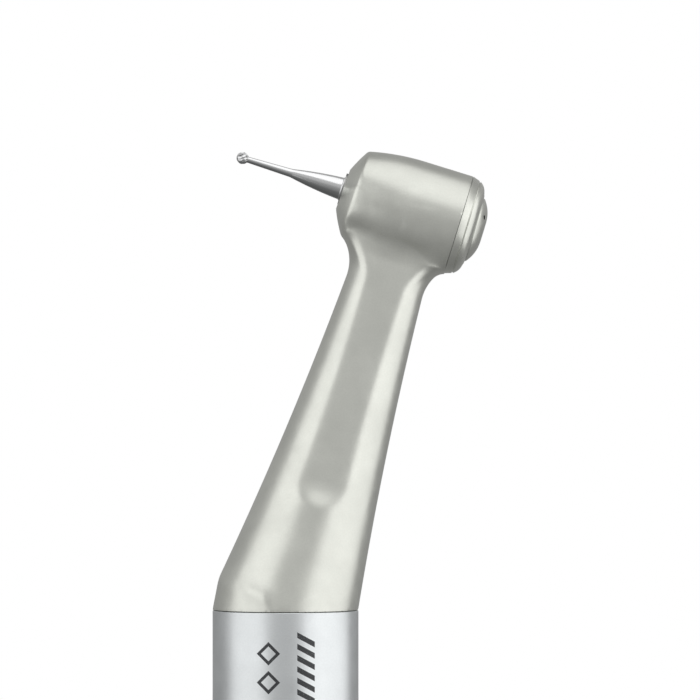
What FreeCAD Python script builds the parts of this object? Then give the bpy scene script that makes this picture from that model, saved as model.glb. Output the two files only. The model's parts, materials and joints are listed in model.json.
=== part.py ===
# Contra-angle dental handpiece, 1:1, with a push-button head and a latch-type bur.
#
# Millimetres, +Z up.  The origin is the centre of the rear coupling opening, +Z runs along the
# handle towards the head, and +X is the side the neck leans to, where the push-button is.
# Drive train: drive dog > main shaft > bevel pair at the bend > neck shaft > bevel pair in the
# head > hollow spindle > bur.
import FreeCAD, Part
import Sketcher
import math
import os

Vector = FreeCAD.Vector

os.makedirs("parts", exist_ok=True)
doc = FreeCAD.newDocument("contra_angle_handpiece")

# ---------------------------------------------------------------- driving dimensions
# Heights in the handle are row z.  Heights in the neck count from the bend towards the head, and
# depths in the head count from the neck axis towards the push-button (the bur side is negative).
DIMENSIONS = {
    "layout": dict(sleeve_top=48, bend_height=48.4, neck_tilt=17.2, neck_length=40.7),
    "fits": dict(slip=0.01, running=0.05, ball_gap=0.03),
    "barrel": dict(
        barrel_radius=4.96, seam=5.15, full_start=0.2, nose_end=-6.6, nose_hole=2.0,
        corner_radius=4.27, corner=-5.4, nose_bend=15, barrel_bend=23.1,
        head_bore=3.9, cap_thread=4.15, cap_thread_start=2.6, front_seat_start=-3.3),
    "neck": dict(
        neck_top_radius=3.87, flare_start=32.7, flare_radius=5.1, flare_end=35.95,
        flare_bend=4.91, neck_base=-3.2, neck_base_radius=7.64, neck_hollow=0.43,
        neck_steps=7,
        collar_radius=7.16, collar_lean=10.9, collar_shift=0.13, collar_reach=4.5,
        flat_top=35.2, flat_top_half=3.07, flat_low=12.9, flat_low_half=5.08,
        flat_end=9.6, flat_end_half=6.6, flat_end_bend=4.6, flat_top_bend=3.5,
        blend_half=3.91, blend_height=3.05, shaft_room=2.9),
    "neck_interior": dict(
        gear_room=4.8, gear_room_end=3.0, nut_seat=4.4, rear_seat_start=5.0,
        rear_seat_end=7.6, front_seat_low=30.5, front_seat_high=33.0, hub_bore=1.9,
        hub_bore_end=37.0, base_opening=5.95, base_opening_end=50.5),
    "cap": dict(
        cap_start=5.17, cap_edge_radius=4.7, cap_edge=5.9, groove_depth=0.07,
        groove_width=0.1, round_end_radius=3.75, round_end=6.65, cap_round=1.4,
        cap_end=6.77, lip_radius=3.3, lip_bottom=6.45, cap_room=3.7, web_top=5.25,
        web_hole=2.4, web_relief=3.0, web_relief_top=5.0, cap_skirt_start=2.7),
    "button": dict(
        button_radius=3.2, button_edge=6.9, button_top=7.68, button_flat=1.0,
        button_bend=3.49, flange_radius=3.6, flange_top=6.4, flange_bottom=6.0,
        skirt_inside=3.0, button_underside=6.7, plunger_radius=1.38,
        plunger_cone_start=5.83, plunger_tip_radius=0.85, plunger_tip=5.25,
        pin_hole_radius=0.21, pin_hole_across=1.4, pin_hole_side=2.0,
        pin_hole_from=7.9, pin_hole_depth=0.9, button_spring_radius=2.72,
        button_spring_wire=0.12, button_spring_low=5.38, button_spring_high=6.57,
        button_spring_turns=2.25),
    "spindle": dict(
        spindle_tip=-6.8, spindle_journal=1.59, spindle_step=2.4, spindle_rear=1.89,
        spindle_end=4.95, shank_bore=1.2, key_start=1.0, key_length=2.0, key_half=0.8,
        jaw_start=3.2, jaw_end=5.2, jaw_inside=1.19, jaw_outside=1.55, jaw_angle=44,
        jaw_slot_start=3.1, jaw_slot_width=1.2),
    "bur": dict(
        shank_radius=1.175, shank_end=4.4, shank_tip=-6.9, groove_low=3.4,
        groove_high=4.0, groove_radius=0.92, d_flat_start=0.4, d_flat_half=0.75,
        bur_neck_radius=1.1, bur_neck_end=-12, bur_stem_radius=0.42, bur_neck_bend=40,
        ball_stem_radius=0.3, ball_join=-16.48, ball_radius=0.6, bur_end=-17.6),
    "bearings": dict(
        head_front_start=-5.5, head_front_outer=3.2, head_front_inner=1.6,
        head_rear_start=2.9, head_rear_outer=3.6, head_rear_inner=1.9,
        head_width=2.0, head_ball=0.45, head_front_count=15, head_rear_count=17,
        neck_front_outer=2.5, neck_front_inner=1.0, neck_front_width=2.0,
        neck_front_ball=0.4, neck_front_count=12,
        neck_rear_outer=3.9, neck_rear_inner=1.25, neck_rear_width=2.5,
        neck_rear_ball=0.65, neck_rear_count=11,
        main_outer=4.6, main_inner=1.5, main_width=2.6, main_ball=0.75, main_count=11,
        main_front_start=42.6, main_rear_start=31.0),
    "head_gears": dict(
        head_teeth=12, head_pitch=2.5, head_cone=45, head_face=0.8, head_addendum=0.35,
        head_dedendum=0.45, pinion_hub=1.7, pinion_hub_end=8.15, pinion_back=3.3,
        spindle_gear_back=3.45),
    "bend_gears": dict(
        bend_teeth=16, bend_pitch=4.2, bend_cone=81.4, bend_face=1.5,
        bend_addendum=0.45, bend_dedendum=0.55, bend_back=1.9, bend_hub=1.9,
        neck_hub_end=4.95, main_hub_end=3.15),
    "neck_shaft": dict(
        neck_shaft_start=1.0, neck_shaft_step=30.4, neck_shaft_end=38.3,
        neck_nut_low=3.6, neck_nut_high=4.9, neck_nut_hole=2.9, neck_tube_inside=2.4,
        neck_tube_outside=2.85, slot_width=0.8, slot_depth=0.5),
    "handle_core": dict(
        main_shaft_start=22.8, main_shaft_end=47.0, main_spacer=2.2, holder_start=29.0,
        holder_outside=6.2, holder_step=46.9, holder_thread=5.9, holder_end=49.6,
        holder_nut_seat=4.9, holder_nut_low=29.4, holder_nut_hole=3.0,
        holder_shoulder=4.2, holder_shoulder_end=46.0, holder_room=5.0),
    "drive_dog": dict(
        dog_start=20.9, dog_end=28.6, dog_outside=2.9, claw_end=22.6, claw_gap=3.0,
        dog_slot_low=25.2, dog_slot_high=27.85, dog_slot_width=1.06, dog_pin_radius=0.5,
        dog_pin_height=27.3, dog_pin_length=5.2, dog_spring_radius=2.2,
        dog_spring_wire=0.2, dog_spring_low=28.82, dog_spring_high=30.78,
        dog_spring_turns=2.5),
    "handle_shell": dict(
        coupling_bore=6.6, coupling_depth=20, lock_low=6.0, lock_high=7.2,
        lock_radius=7.0, dog_room=6.0, dog_room_end=28.0, holder_bore=6.25,
        tube_step=26.0, tube_end=37.0, tube_rear=7.35, tube_front=6.75,
        rear_ring_end=3.0, rear_ring_radius=9.3, colour_ring_end=4.4,
        sleeve_radius=9.2, waist_start=20, waist_end=40, sleeve_waist=7.15,
        sleeve_bend=49.29, sleeve_rear_bore=7.4, sleeve_mid_bore=6.8,
        sleeve_mid_start=26.2, sleeve_front_start=38.0, sleeve_lip=5.95,
        sleeve_lip_start=46.95, grip_first=7.5, grip_step=1.5, grip_count=7,
        grip_depth=0.25, grip_width=0.6),
}

sheet = doc.addObject("Spreadsheet::Sheet", "Dims")
VALUES = {}
row = 0
for group, entries in DIMENSIONS.items():
    row += 1
    sheet.set("A%d" % row, group)
    for alias, number in entries.items():
        row += 1
        sheet.set("A%d" % row, alias)
        sheet.set("B%d" % row, str(number))
        sheet.setAlias("B%d" % row, alias)
        VALUES[alias] = float(number)
doc.recompute()


class Size:
    """A number together with the sheet expression that gives it."""

    def __init__(self, value, text):
        self.value = float(value)
        self.text = text

    def __add__(self, other):
        other = size(other)
        return Size(self.value + other.value, "(%s + %s)" % (self.text, other.text))

    def __sub__(self, other):
        other = size(other)
        return Size(self.value - other.value, "(%s - %s)" % (self.text, other.text))

    def __mul__(self, other):
        other = size(other)
        return Size(self.value * other.value, "%s * %s" % (self.text, other.text))

    def __truediv__(self, other):
        other = size(other)
        return Size(self.value / other.value, "%s / %s" % (self.text, other.text))

    def __neg__(self):
        return Size(-self.value, "(0 - %s)" % self.text)

    @property
    def bound(self):
        return "Dims." in self.text


class Dims:
    """Every alias of the sheet, as a Size."""

    def __getattr__(self, alias):
        return Size(VALUES[alias], "Dims." + alias)


def size(number):
    if isinstance(number, Size):
        return number
    return Size(number, "(%r)" % float(number))


def sine(angle):
    return Size(math.sin(math.radians(angle.value)), "sin(%s)" % angle.text)


def cosine(angle):
    return Size(math.cos(math.radians(angle.value)), "cos(%s)" % angle.text)


def root(number):
    return Size(math.sqrt(number.value), "sqrt(%s)" % number.text)


def bind(item, path, number):
    """Tie one property of a document object to the sheet."""
    number = size(number)
    if number.bound:
        item.setExpression(path, number.text)


d = Dims()


class Frame:
    """A place in the row's XZ plane: an origin, and a turn about Y that tips its local Z."""

    def __init__(self, x, z, tilt):
        self.x = size(x)
        self.z = size(z)
        self.tilt = size(tilt)

    def place(self, item):
        turn = FreeCAD.Rotation(Vector(0, 1, 0), self.tilt.value)
        item.Placement = FreeCAD.Placement(Vector(self.x.value, 0, self.z.value), turn)
        bind(item, "Placement.Base.x", self.x)
        bind(item, "Placement.Base.z", self.z)
        if self.tilt.bound:
            bind(item, "Placement.Rotation.Angle", self.tilt)


HEAD_X = d.neck_length * sine(d.neck_tilt)
HEAD_Z = d.bend_height + d.neck_length * cosine(d.neck_tilt)
HANDLE = Frame(0, 0, 0)                                      # Z along the handle
NECK = Frame(0, d.bend_height, d.neck_tilt)                  # Z up the neck, from the bend
HEAD = Frame(HEAD_X, HEAD_Z, d.neck_tilt + 90)               # Z towards the push-button
MAIN_GEAR = Frame(0, d.bend_height, 180)                     # Z down the handle, from the bend
PINION = Frame(HEAD_X, HEAD_Z, d.neck_tilt + 180)            # Z down the neck, from the head
SPINDLE_GEAR = Frame(HEAD_X, HEAD_Z, d.neck_tilt - 90)       # Z towards the bur


# ---------------------------------------------------------------- sketches and features
EXACT = 0  # boolean tolerance: a looser one swallows cuts that graze a curved face


def new_body(label, frame):
    body = doc.addObject("PartDesign::Body", label)
    body.Label = label
    if "AllowCompound" in body.PropertiesList:
        body.AllowCompound = True
    frame.place(body)
    return body


def new_sketch(body, plane, place):
    """A sketch on one of the body's origin planes; place is (across, along, turn, lift)."""
    across, along, turn, lift = [size(number) for number in place]
    support = [f for f in body.Origin.OriginFeatures if f.Role == plane][0]
    sketch = body.newObject("Sketcher::SketchObject", body.Name + "_sketch")
    sketch.AttachmentSupport = (support, [""])
    sketch.MapMode = "FlatFace"
    offset = Vector(across.value, along.value, lift.value)
    spin = FreeCAD.Rotation(Vector(0, 0, 1), turn.value)
    sketch.AttachmentOffset = FreeCAD.Placement(offset, spin)
    bind(sketch, "AttachmentOffset.Base.x", across)
    bind(sketch, "AttachmentOffset.Base.y", along)
    bind(sketch, "AttachmentOffset.Base.z", lift)
    return sketch


def edge_between(start, end, bend):
    """A line, or an arc whose centre lies left of the way there (right if bend is negative)."""
    first = Vector(start[0].value, start[1].value, 0)
    last = Vector(end[0].value, end[1].value, 0)
    if bend is None:
        return Part.LineSegment(first, last), 1, 2
    radius = abs(bend.value)
    way = last.sub(first)
    middle = first.add(last).multiply(0.5)
    reach = math.sqrt(max(radius ** 2 - (way.Length / 2) ** 2, 0))
    left = Vector(-way.y, way.x, 0).normalize()
    side = 1 if bend.value > 0 else -1
    centre = middle.add(left.multiply(side * reach))
    begin, finish = (first, last) if side > 0 else (last, first)
    angles = [math.atan2(p.y - centre.y, p.x - centre.x) for p in (begin, finish)]
    if angles[1] < angles[0]:
        angles[1] += 2 * math.pi
    arc = Part.ArcOfCircle(Part.Circle(centre, Vector(0, 0, 1), radius), *angles)
    return (arc, 1, 2) if side > 0 else (arc, 2, 1)


def draw(body, plane, outline, place=(0, 0, 0, 0)):
    """A closed sketch.  A corner is (across, along), or (across, along, bend) before an arc."""
    sketch = new_sketch(body, plane, place)
    corners = [(size(c[0]), size(c[1]), size(c[2]) if len(c) > 2 else None) for c in outline]
    count = len(corners)
    edges = [edge_between(c, corners[(i + 1) % count], c[2]) for i, c in enumerate(corners)]
    sketch.addGeometry([edge[0] for edge in edges], False)
    rules = []
    ties = []
    for i, corner in enumerate(corners):
        start = edges[i][1]
        after = (i + 1) % count
        rules.append(Sketcher.Constraint("Coincident", i, edges[i][2], after, edges[after][1]))
        ties.append((len(rules), corner[0]))
        rules.append(Sketcher.Constraint("DistanceX", -1, 1, i, start, corner[0].value))
        ties.append((len(rules), corner[1]))
        rules.append(Sketcher.Constraint("DistanceY", -1, 1, i, start, corner[1].value))
        if corner[2] is not None:
            radius = corner[2] if corner[2].value > 0 else -corner[2]
            ties.append((len(rules), radius))
            rules.append(Sketcher.Constraint("Radius", i, radius.value))
    sketch.addConstraint(rules)
    for index, number in ties:
        bind(sketch, "Constraints[%d]" % index, number)
    return sketch


def draw_circle(body, plane, across, along, radius, place=(0, 0, 0, 0)):
    sketch = new_sketch(body, plane, place)
    centre = Vector(across.value, along.value, 0)
    sketch.addGeometry([Part.Circle(centre, Vector(0, 0, 1), radius.value)], False)
    sketch.addConstraint([
        Sketcher.Constraint("DistanceX", -1, 1, 0, 3, across.value),
        Sketcher.Constraint("DistanceY", -1, 1, 0, 3, along.value),
        Sketcher.Constraint("Radius", 0, radius.value)])
    for index, number in enumerate((across, along, radius)):
        bind(sketch, "Constraints[%d]" % index, number)
    return sketch


def turn(body, sketch, cut=False, angle=360):
    """Turn a sketch about its own upright axis; a part turn is centred on the sketch."""
    kind = "PartDesign::Groove" if cut else "PartDesign::Revolution"
    feature = body.newObject(kind, body.Name + "_turn")
    feature.Profile = sketch
    feature.FuzzyTolerance = EXACT
    feature.ReferenceAxis = (sketch, ["V_Axis"])
    feature.Angle = size(angle).value
    bind(feature, "Angle", angle)
    if size(angle).value < 360:
        feature.Midplane = True
    return feature


def extrude(body, sketch, length, cut=False, both_ways=True):
    kind = "PartDesign::Pocket" if cut else "PartDesign::Pad"
    feature = body.newObject(kind, body.Name + "_extrude")
    feature.Profile = sketch
    feature.FuzzyTolerance = EXACT
    feature.Length = size(length).value
    bind(feature, "Length", length)
    if both_ways:
        feature.SideType = "Symmetric"
    return feature


def cut_through(body, sketch):
    """Cut a sketch's outline right through the body, both ways."""
    feature = body.newObject("PartDesign::Pocket", body.Name + "_through")
    feature.Profile = sketch
    feature.FuzzyTolerance = EXACT
    feature.SideType = "Two sides"
    feature.Type = "ThroughAll"
    feature.Type2 = "ThroughAll"
    return feature


def turned(label, frame, outline):
    """A body turned from one outline of (radius, height) corners."""
    body = new_body(label, frame)
    turn(body, draw(body, "XZ_Plane", outline))
    return body


def tube(label, frame, inside, outside, start, end):
    return turned(label, frame, [(inside, start), (outside, start), (outside, end), (inside, end)])


def box_outline(left, right, low, high):
    return [(left, low), (right, low), (right, high), (left, high)]


def repeat(body, feature, count):
    """Repeat a feature round the body's own Z axis."""
    axis = [f for f in body.Origin.OriginFeatures if f.Role == "Z_Axis"][0]
    pattern = body.newObject("PartDesign::PolarPattern", body.Name + "_ring")
    pattern.Originals = [feature]
    pattern.Axis = (axis, [""])
    pattern.Angle = 360
    pattern.Occurrences = int(size(count).value)
    bind(pattern, "Occurrences", count)
    body.Tip = pattern
    return pattern


# ---------------------------------------------------------------- repeated kinds of piece
def bearing(label, frame, start, width, inner, outer, ball, count):
    """A full-complement ball bearing: an outer ring, an inner ring and its ring of balls."""
    pitch = (inner + outer) / 2
    middle = start + width / 2
    shoulder = ball * 0.45
    race = ball + d.ball_gap
    half = root(race * race - shoulder * shoulder)
    end = start + width
    rim = pitch + shoulder
    land = pitch - shoulder
    turned(label + "_outer_ring", frame, [
        (outer, start), (outer, end), (rim, end), (rim, middle + half, -race),
        (rim, middle - half), (rim, start)])
    turned(label + "_inner_ring", frame, [
        (inner, start), (land, start), (land, middle - half, -race), (land, middle + half),
        (land, end), (inner, end)])
    balls = new_body(label + "_balls", frame)
    half_disc = [(0, -ball, ball), (ball, 0, ball), (0, ball)]
    sphere = turn(balls, draw(balls, "XZ_Plane", half_disc, (pitch, middle, 0, 0)))
    repeat(balls, sphere, count)


def bevel_gear(label, frame, teeth, pitch, cone, face, addendum, dedendum, blank, phase):
    """A straight bevel gear with its cone's apex at the frame's origin, opening towards +Z.

    Each tooth is the involute section of its virtual spur gear at the wide end, drawn down
    towards the apex.  phase shifts the teeth by that share of one pitch.
    """
    pressure = math.radians(20)
    backlash = 0.05
    tilt = math.radians(cone)
    cone_length = pitch / math.sin(tilt)
    virtual = cone_length * math.tan(tilt)
    toe = (cone_length - face) / cone_length
    along = Vector(math.sin(tilt), 0, math.cos(tilt))
    across = Vector(0, 1, 0)
    outward = Vector(math.cos(tilt), 0, -math.sin(tilt))
    half_pitch_angle = (math.pi * pitch / teeth - backlash) / (2 * virtual)

    def involute(radius):
        angle = math.acos(min(1.0, virtual * math.cos(pressure) / radius))
        return math.tan(angle) - angle

    flank = []
    steps = 5
    for step in range(steps + 1):
        height = -dedendum * 1.15 + (dedendum * 1.15 + addendum) * step / steps
        radius = virtual + height
        half_angle = half_pitch_angle + involute(virtual) - involute(radius)
        flank.append((radius * math.sin(half_angle), radius * math.cos(half_angle) - virtual))
    section = flank + [(-side, height) for side, height in reversed(flank)]

    def ring(scale):
        points = [(along * cone_length + across * side + outward * height) * scale
                  for side, height in section]
        return Part.makePolygon(points + points[:1])

    tooth = Part.makeLoft([ring(1), ring(toe)], True, True)
    profile = Part.makePolygon([Vector(r, 0, z) for r, z in blank + blank[:1]])
    body = Part.Face(profile).revolve(Vector(0, 0, 0), Vector(0, 0, 1), 360)
    turns = [360 * (index + phase) / teeth for index in range(teeth)]
    solids = [tooth.rotated(Vector(0, 0, 0), Vector(0, 0, 1), angle) for angle in turns]
    gear = doc.addObject("Part::Feature", label)
    gear.Label = label
    gear.Shape = body.fuse(solids).removeSplitter()
    frame.place(gear)


def gear_root(pitch, cone, face, dedendum):
    """The wide and narrow ends of a bevel gear's root cone, as (radius, depth)."""
    tilt = math.radians(cone)
    cone_length = pitch / math.sin(tilt)
    heel = (pitch - dedendum * math.cos(tilt),
            cone_length * math.cos(tilt) + dedendum * math.sin(tilt))
    toe = (cone_length - face) / cone_length
    return heel, (heel[0] * toe, heel[1] * toe)


STRETCHES_PER_TURN = 8


def coil_spring(label, frame, radius, wire, low, high, turns):
    """A round-wire compression spring, with its coil's middle line from low to high."""
    helix = Part.makeHelix((high - low) / turns, high - low, radius)
    helix.translate(Vector(0, 0, low))
    middle_line = helix.Edges[0].Curve
    first, last = helix.Edges[0].ParameterRange
    count = int(turns * STRETCHES_PER_TURN)
    step = (last - first) / count
    stretches = [middle_line.toShape(first + step * i, first + step * (i + 1)) for i in range(count)]
    loop = Part.Wire(Part.makeCircle(wire, Vector(radius, 0, low), Vector(0, 1, 0)))
    spring = doc.addObject("Part::Feature", label)
    spring.Label = label
    spring.Shape = Part.Wire(stretches).makePipeShell([loop], True, True)
    frame.place(spring)


# ---------------------------------------------------------------- head
def head_neck_housing():
    """The one-piece head and neck: a barrel across the end of a tapering, flat-sided neck."""
    housing = new_body("head_neck_housing", NECK)
    in_head = (0, d.neck_length, -90, 0)
    lean = d.neck_tilt
    in_handle = (d.bend_height * sine(lean), -(d.bend_height * cosine(lean)), lean, 0)

    def add(outline, place=(0, 0, 0, 0)):
        turn(housing, draw(housing, "XZ_Plane", outline, place))

    def bore(outline, place=(0, 0, 0, 0)):
        turn(housing, draw(housing, "XZ_Plane", outline, place), cut=True)

    taper = []
    steps = int(VALUES["neck_steps"])
    for step in range(steps):
        share = step / steps
        radius = d.neck_base_radius + (d.neck_top_radius - d.neck_base_radius) * share
        hollow = d.neck_hollow * (4 * share * (1 - share))
        taper.append((radius - hollow, d.neck_base + (d.flare_start - d.neck_base) * share))
    add([(0, d.neck_base)] + taper + [
        (d.neck_top_radius, d.flare_start, -d.flare_bend), (d.flare_radius, d.flare_end),
        (d.flare_radius, d.neck_length), (0, d.neck_length)])

    for side in (1, -1):
        outside = d.flat_end_half * 1.5 * side
        cut_through(housing, draw(housing, "YZ_Plane", [
            (d.blend_half * side, d.neck_length - d.blend_height, d.flat_top_bend * side),
            (d.flat_top_half * side, d.flat_top),
            (d.flat_low_half * side, d.flat_low, d.flat_end_bend * side),
            (d.flat_end_half * side, d.flat_end),
            (outside, d.flat_end),
            (outside, d.neck_length),
            (d.barrel_radius * side, d.neck_length, d.barrel_radius * -side)]))

    add([
        (0, d.nose_end), (d.nose_hole, d.nose_end, d.nose_bend),
        (d.corner_radius, d.corner, d.barrel_bend), (d.barrel_radius, d.full_start),
        (d.barrel_radius, d.seam), (0, d.seam)], in_head)

    collar_x = d.collar_shift * cosine(lean) - (d.sleeve_top - d.bend_height) * sine(lean)
    collar_z = d.collar_shift * sine(lean) + (d.sleeve_top - d.bend_height) * cosine(lean)
    outside = d.collar_radius * 1.5
    bore(box_outline(d.collar_radius, outside, -d.collar_reach, d.collar_reach),
         (collar_x, collar_z, lean - d.collar_lean, 0))
    bore(box_outline(0, outside, d.sleeve_top - outside, d.sleeve_top), in_handle)
    bore(box_outline(0, d.base_opening, d.sleeve_top - 1, d.base_opening_end), in_handle)

    bore([
        (0, -d.gear_room_end), (d.gear_room, -d.gear_room_end), (d.gear_room, d.gear_room_end),
        (d.nut_seat, d.gear_room_end), (d.nut_seat, d.rear_seat_start),
        (d.neck_rear_outer + d.slip, d.rear_seat_start),
        (d.neck_rear_outer + d.slip, d.rear_seat_end),
        (d.shaft_room, d.rear_seat_end), (d.shaft_room, d.front_seat_low),
        (d.neck_front_outer + d.slip, d.front_seat_low),
        (d.neck_front_outer + d.slip, d.front_seat_high),
        (d.hub_bore, d.front_seat_high), (d.hub_bore, d.hub_bore_end),
        (d.shaft_room, d.hub_bore_end), (d.shaft_room, d.neck_length), (0, d.neck_length)])
    front_seat = d.head_front_outer + d.slip
    bore([
        (0, d.nose_end - 1), (d.nose_hole, d.nose_end - 1),
        (d.nose_hole, d.head_front_start), (front_seat, d.head_front_start),
        (front_seat, d.front_seat_start), (d.head_bore, d.front_seat_start),
        (d.head_bore, d.cap_thread_start), (d.cap_thread, d.cap_thread_start),
        (d.cap_thread, d.seam + 1), (0, d.seam + 1)], in_head)


def head_cap():
    """The screwed rear cap: it holds the rear bearing and keeps the push-button in."""
    seat = d.head_rear_outer + d.slip
    thread = d.cap_thread - d.running
    groove_middle = d.cap_edge + d.groove_width / 2
    turned("head_cap", HEAD, [
        (seat, d.cap_skirt_start), (thread, d.cap_skirt_start), (thread, d.cap_start),
        (d.barrel_radius, d.cap_start), (d.cap_edge_radius, d.cap_edge),
        (d.cap_edge_radius - d.groove_depth, groove_middle),
        (d.cap_edge_radius - d.groove_depth / 2, d.cap_edge + d.groove_width, d.cap_round),
        (d.round_end_radius, d.round_end), (d.lip_radius + d.running, d.cap_end),
        (d.lip_radius, d.cap_end - d.running), (d.lip_radius, d.lip_bottom),
        (d.cap_room, d.lip_bottom), (d.cap_room, d.web_top), (d.web_hole, d.web_top),
        (d.web_hole, d.web_relief_top), (d.web_relief, d.web_relief_top),
        (d.web_relief, d.head_rear_start + d.head_width),
        (seat, d.head_rear_start + d.head_width)])


def push_button():
    """The domed release button, with a coned plunger that spreads the chuck jaws."""
    button = turned("push_button", HEAD, [
        (0, d.plunger_tip), (d.plunger_tip_radius, d.plunger_tip),
        (d.plunger_radius, d.plunger_cone_start), (d.plunger_radius, d.button_underside),
        (d.skirt_inside, d.button_underside), (d.skirt_inside, d.flange_bottom),
        (d.flange_radius, d.flange_bottom), (d.flange_radius, d.flange_top),
        (d.button_radius, d.flange_top), (d.button_radius, d.button_edge, d.button_bend),
        (d.button_flat, d.button_top), (0, d.button_top)])
    place = (0, 0, 0, d.pin_hole_from)
    side = -d.pin_hole_side
    hole = draw_circle(button, "XY_Plane", -d.pin_hole_across, side, d.pin_hole_radius, place)
    repeat(button, extrude(button, hole, d.pin_hole_depth, cut=True, both_ways=False), 2)
    coil_spring("button_spring", HEAD, d.button_spring_radius.value,
                d.button_spring_wire.value, d.button_spring_low.value,
                d.button_spring_high.value, d.button_spring_turns.value)


def spindle():
    """The hollow spindle, with a key for the bur's flat and two slots for the chuck jaws."""
    body = turned("spindle", HEAD, [
        (d.shank_bore, d.spindle_tip), (d.spindle_journal, d.spindle_tip),
        (d.spindle_journal, d.spindle_step), (d.spindle_rear, d.spindle_step),
        (d.spindle_rear, d.spindle_end), (d.shank_bore, d.spindle_end)])
    wall = (d.shank_bore + d.spindle_journal) / 2
    edge = root(wall * wall - d.key_half * d.key_half)
    key = draw(body, "XY_Plane", [(d.key_half, edge), (d.key_half, -edge, wall)],
               (0, 0, 0, d.key_start))
    extrude(body, key, d.key_length, both_ways=False)
    reach = d.spindle_rear * 1.5
    slot = draw(body, "XZ_Plane", box_outline(-reach, reach, d.jaw_slot_start, d.spindle_end + 1))
    extrude(body, slot, d.jaw_slot_width, cut=True)
    for label, side in (("jaw_a", 1), ("jaw_b", -1)):
        jaw = new_body(label, HEAD)
        outline = box_outline(d.jaw_inside * side, d.jaw_outside * side, d.jaw_start, d.jaw_end)
        turn(jaw, draw(jaw, "XZ_Plane", outline), angle=d.jaw_angle)


def bur():
    """A latch-type round bur: a shank with a flat and a latch groove, and a slim neck."""
    body = turned("bur", HEAD, [
        (0, d.bur_end, d.ball_radius), (d.ball_radius, d.bur_end + d.ball_radius, d.ball_radius),
        (d.ball_stem_radius, d.ball_join), (d.bur_stem_radius, d.bur_neck_end, -d.bur_neck_bend),
        (d.bur_neck_radius, d.shank_tip), (d.shank_radius, d.shank_tip + d.running),
        (d.shank_radius, d.groove_low), (d.groove_radius, d.groove_low),
        (d.groove_radius, d.groove_high), (d.shank_radius, d.groove_high),
        (d.shank_radius, d.shank_end - d.running), (d.shank_radius - d.running, d.shank_end),
        (0, d.shank_end)])
    reach = d.shank_radius * 2
    flat = box_outline(d.d_flat_half, reach, d.d_flat_start, d.shank_end + 1)
    extrude(body, draw(body, "XZ_Plane", flat), reach * 2, cut=True)


def head_gears():
    heel, toe = gear_root(VALUES["head_pitch"], VALUES["head_cone"], VALUES["head_face"],
                          VALUES["head_dedendum"])
    tooth = [VALUES[name] for name in
             ("head_pitch", "head_cone", "head_face", "head_addendum", "head_dedendum")]
    teeth = int(VALUES["head_teeth"])
    bore = VALUES["neck_front_inner"] + VALUES["slip"]
    hub = VALUES["pinion_hub"]
    back = VALUES["pinion_back"]
    hub_end = VALUES["pinion_hub_end"]
    bevel_gear("head_pinion", PINION, teeth, *tooth,
               [(bore, toe[1]), toe, heel, (heel[0], back), (hub, back), (hub, hub_end),
                (bore, hub_end)], 0)
    bore = VALUES["head_front_inner"] + VALUES["slip"]
    back = VALUES["spindle_gear_back"]
    bevel_gear("spindle_gear", SPINDLE_GEAR, teeth, *tooth,
               [(bore, toe[1]), (toe[0] + VALUES["running"], toe[1] + VALUES["running"]), heel,
                (heel[0], back), (bore, back)], 0.5)


# ---------------------------------------------------------------- neck
def bend_gears():
    heel, toe = gear_root(VALUES["bend_pitch"], VALUES["bend_cone"], VALUES["bend_face"],
                          VALUES["bend_dedendum"])
    tooth = [VALUES[name] for name in
             ("bend_pitch", "bend_cone", "bend_face", "bend_addendum", "bend_dedendum")]
    teeth = int(VALUES["bend_teeth"])
    back = VALUES["bend_back"]
    hub = VALUES["bend_hub"]
    for label, frame, journal, hub_end, phase in (
            ("neck_gear", NECK, "neck_rear_inner", "neck_hub_end", 0),
            ("main_gear", MAIN_GEAR, "main_inner", "main_hub_end", 0.5)):
        bore = VALUES[journal] + VALUES["slip"]
        end = VALUES[hub_end]
        bevel_gear(label, frame, teeth, *tooth,
                   [(bore, toe[1]), toe, heel, (heel[0], back), (hub, back), (hub, end),
                    (bore, end)], phase)


def neck_train():
    """The shaft up the neck, its spacer tube and the nut that locks its rear bearing."""
    rear = d.neck_rear_inner - d.slip
    front = d.neck_front_inner - d.slip
    turned("neck_shaft", NECK, [
        (0, d.neck_shaft_start), (rear, d.neck_shaft_start), (rear, d.neck_shaft_step),
        (front, d.neck_shaft_step), (front, d.neck_shaft_end), (0, d.neck_shaft_end)])
    tube("neck_spacer_tube", NECK, d.neck_tube_inside, d.neck_tube_outside,
         d.rear_seat_end, d.front_seat_low)
    nut = tube("neck_bearing_nut", NECK, d.neck_nut_hole, d.nut_seat - d.running,
               d.neck_nut_low, d.neck_nut_high)
    cut_slot(nut, d.nut_seat, d.neck_nut_low - 1, d.neck_nut_low + d.slot_depth)


def cut_slot(nut, reach, low, high):
    """A spanner slot across the face of a round nut."""
    slot = draw(nut, "XZ_Plane", box_outline(-reach * 2, reach * 2, low, high))
    extrude(nut, slot, d.slot_width, cut=True)


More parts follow.
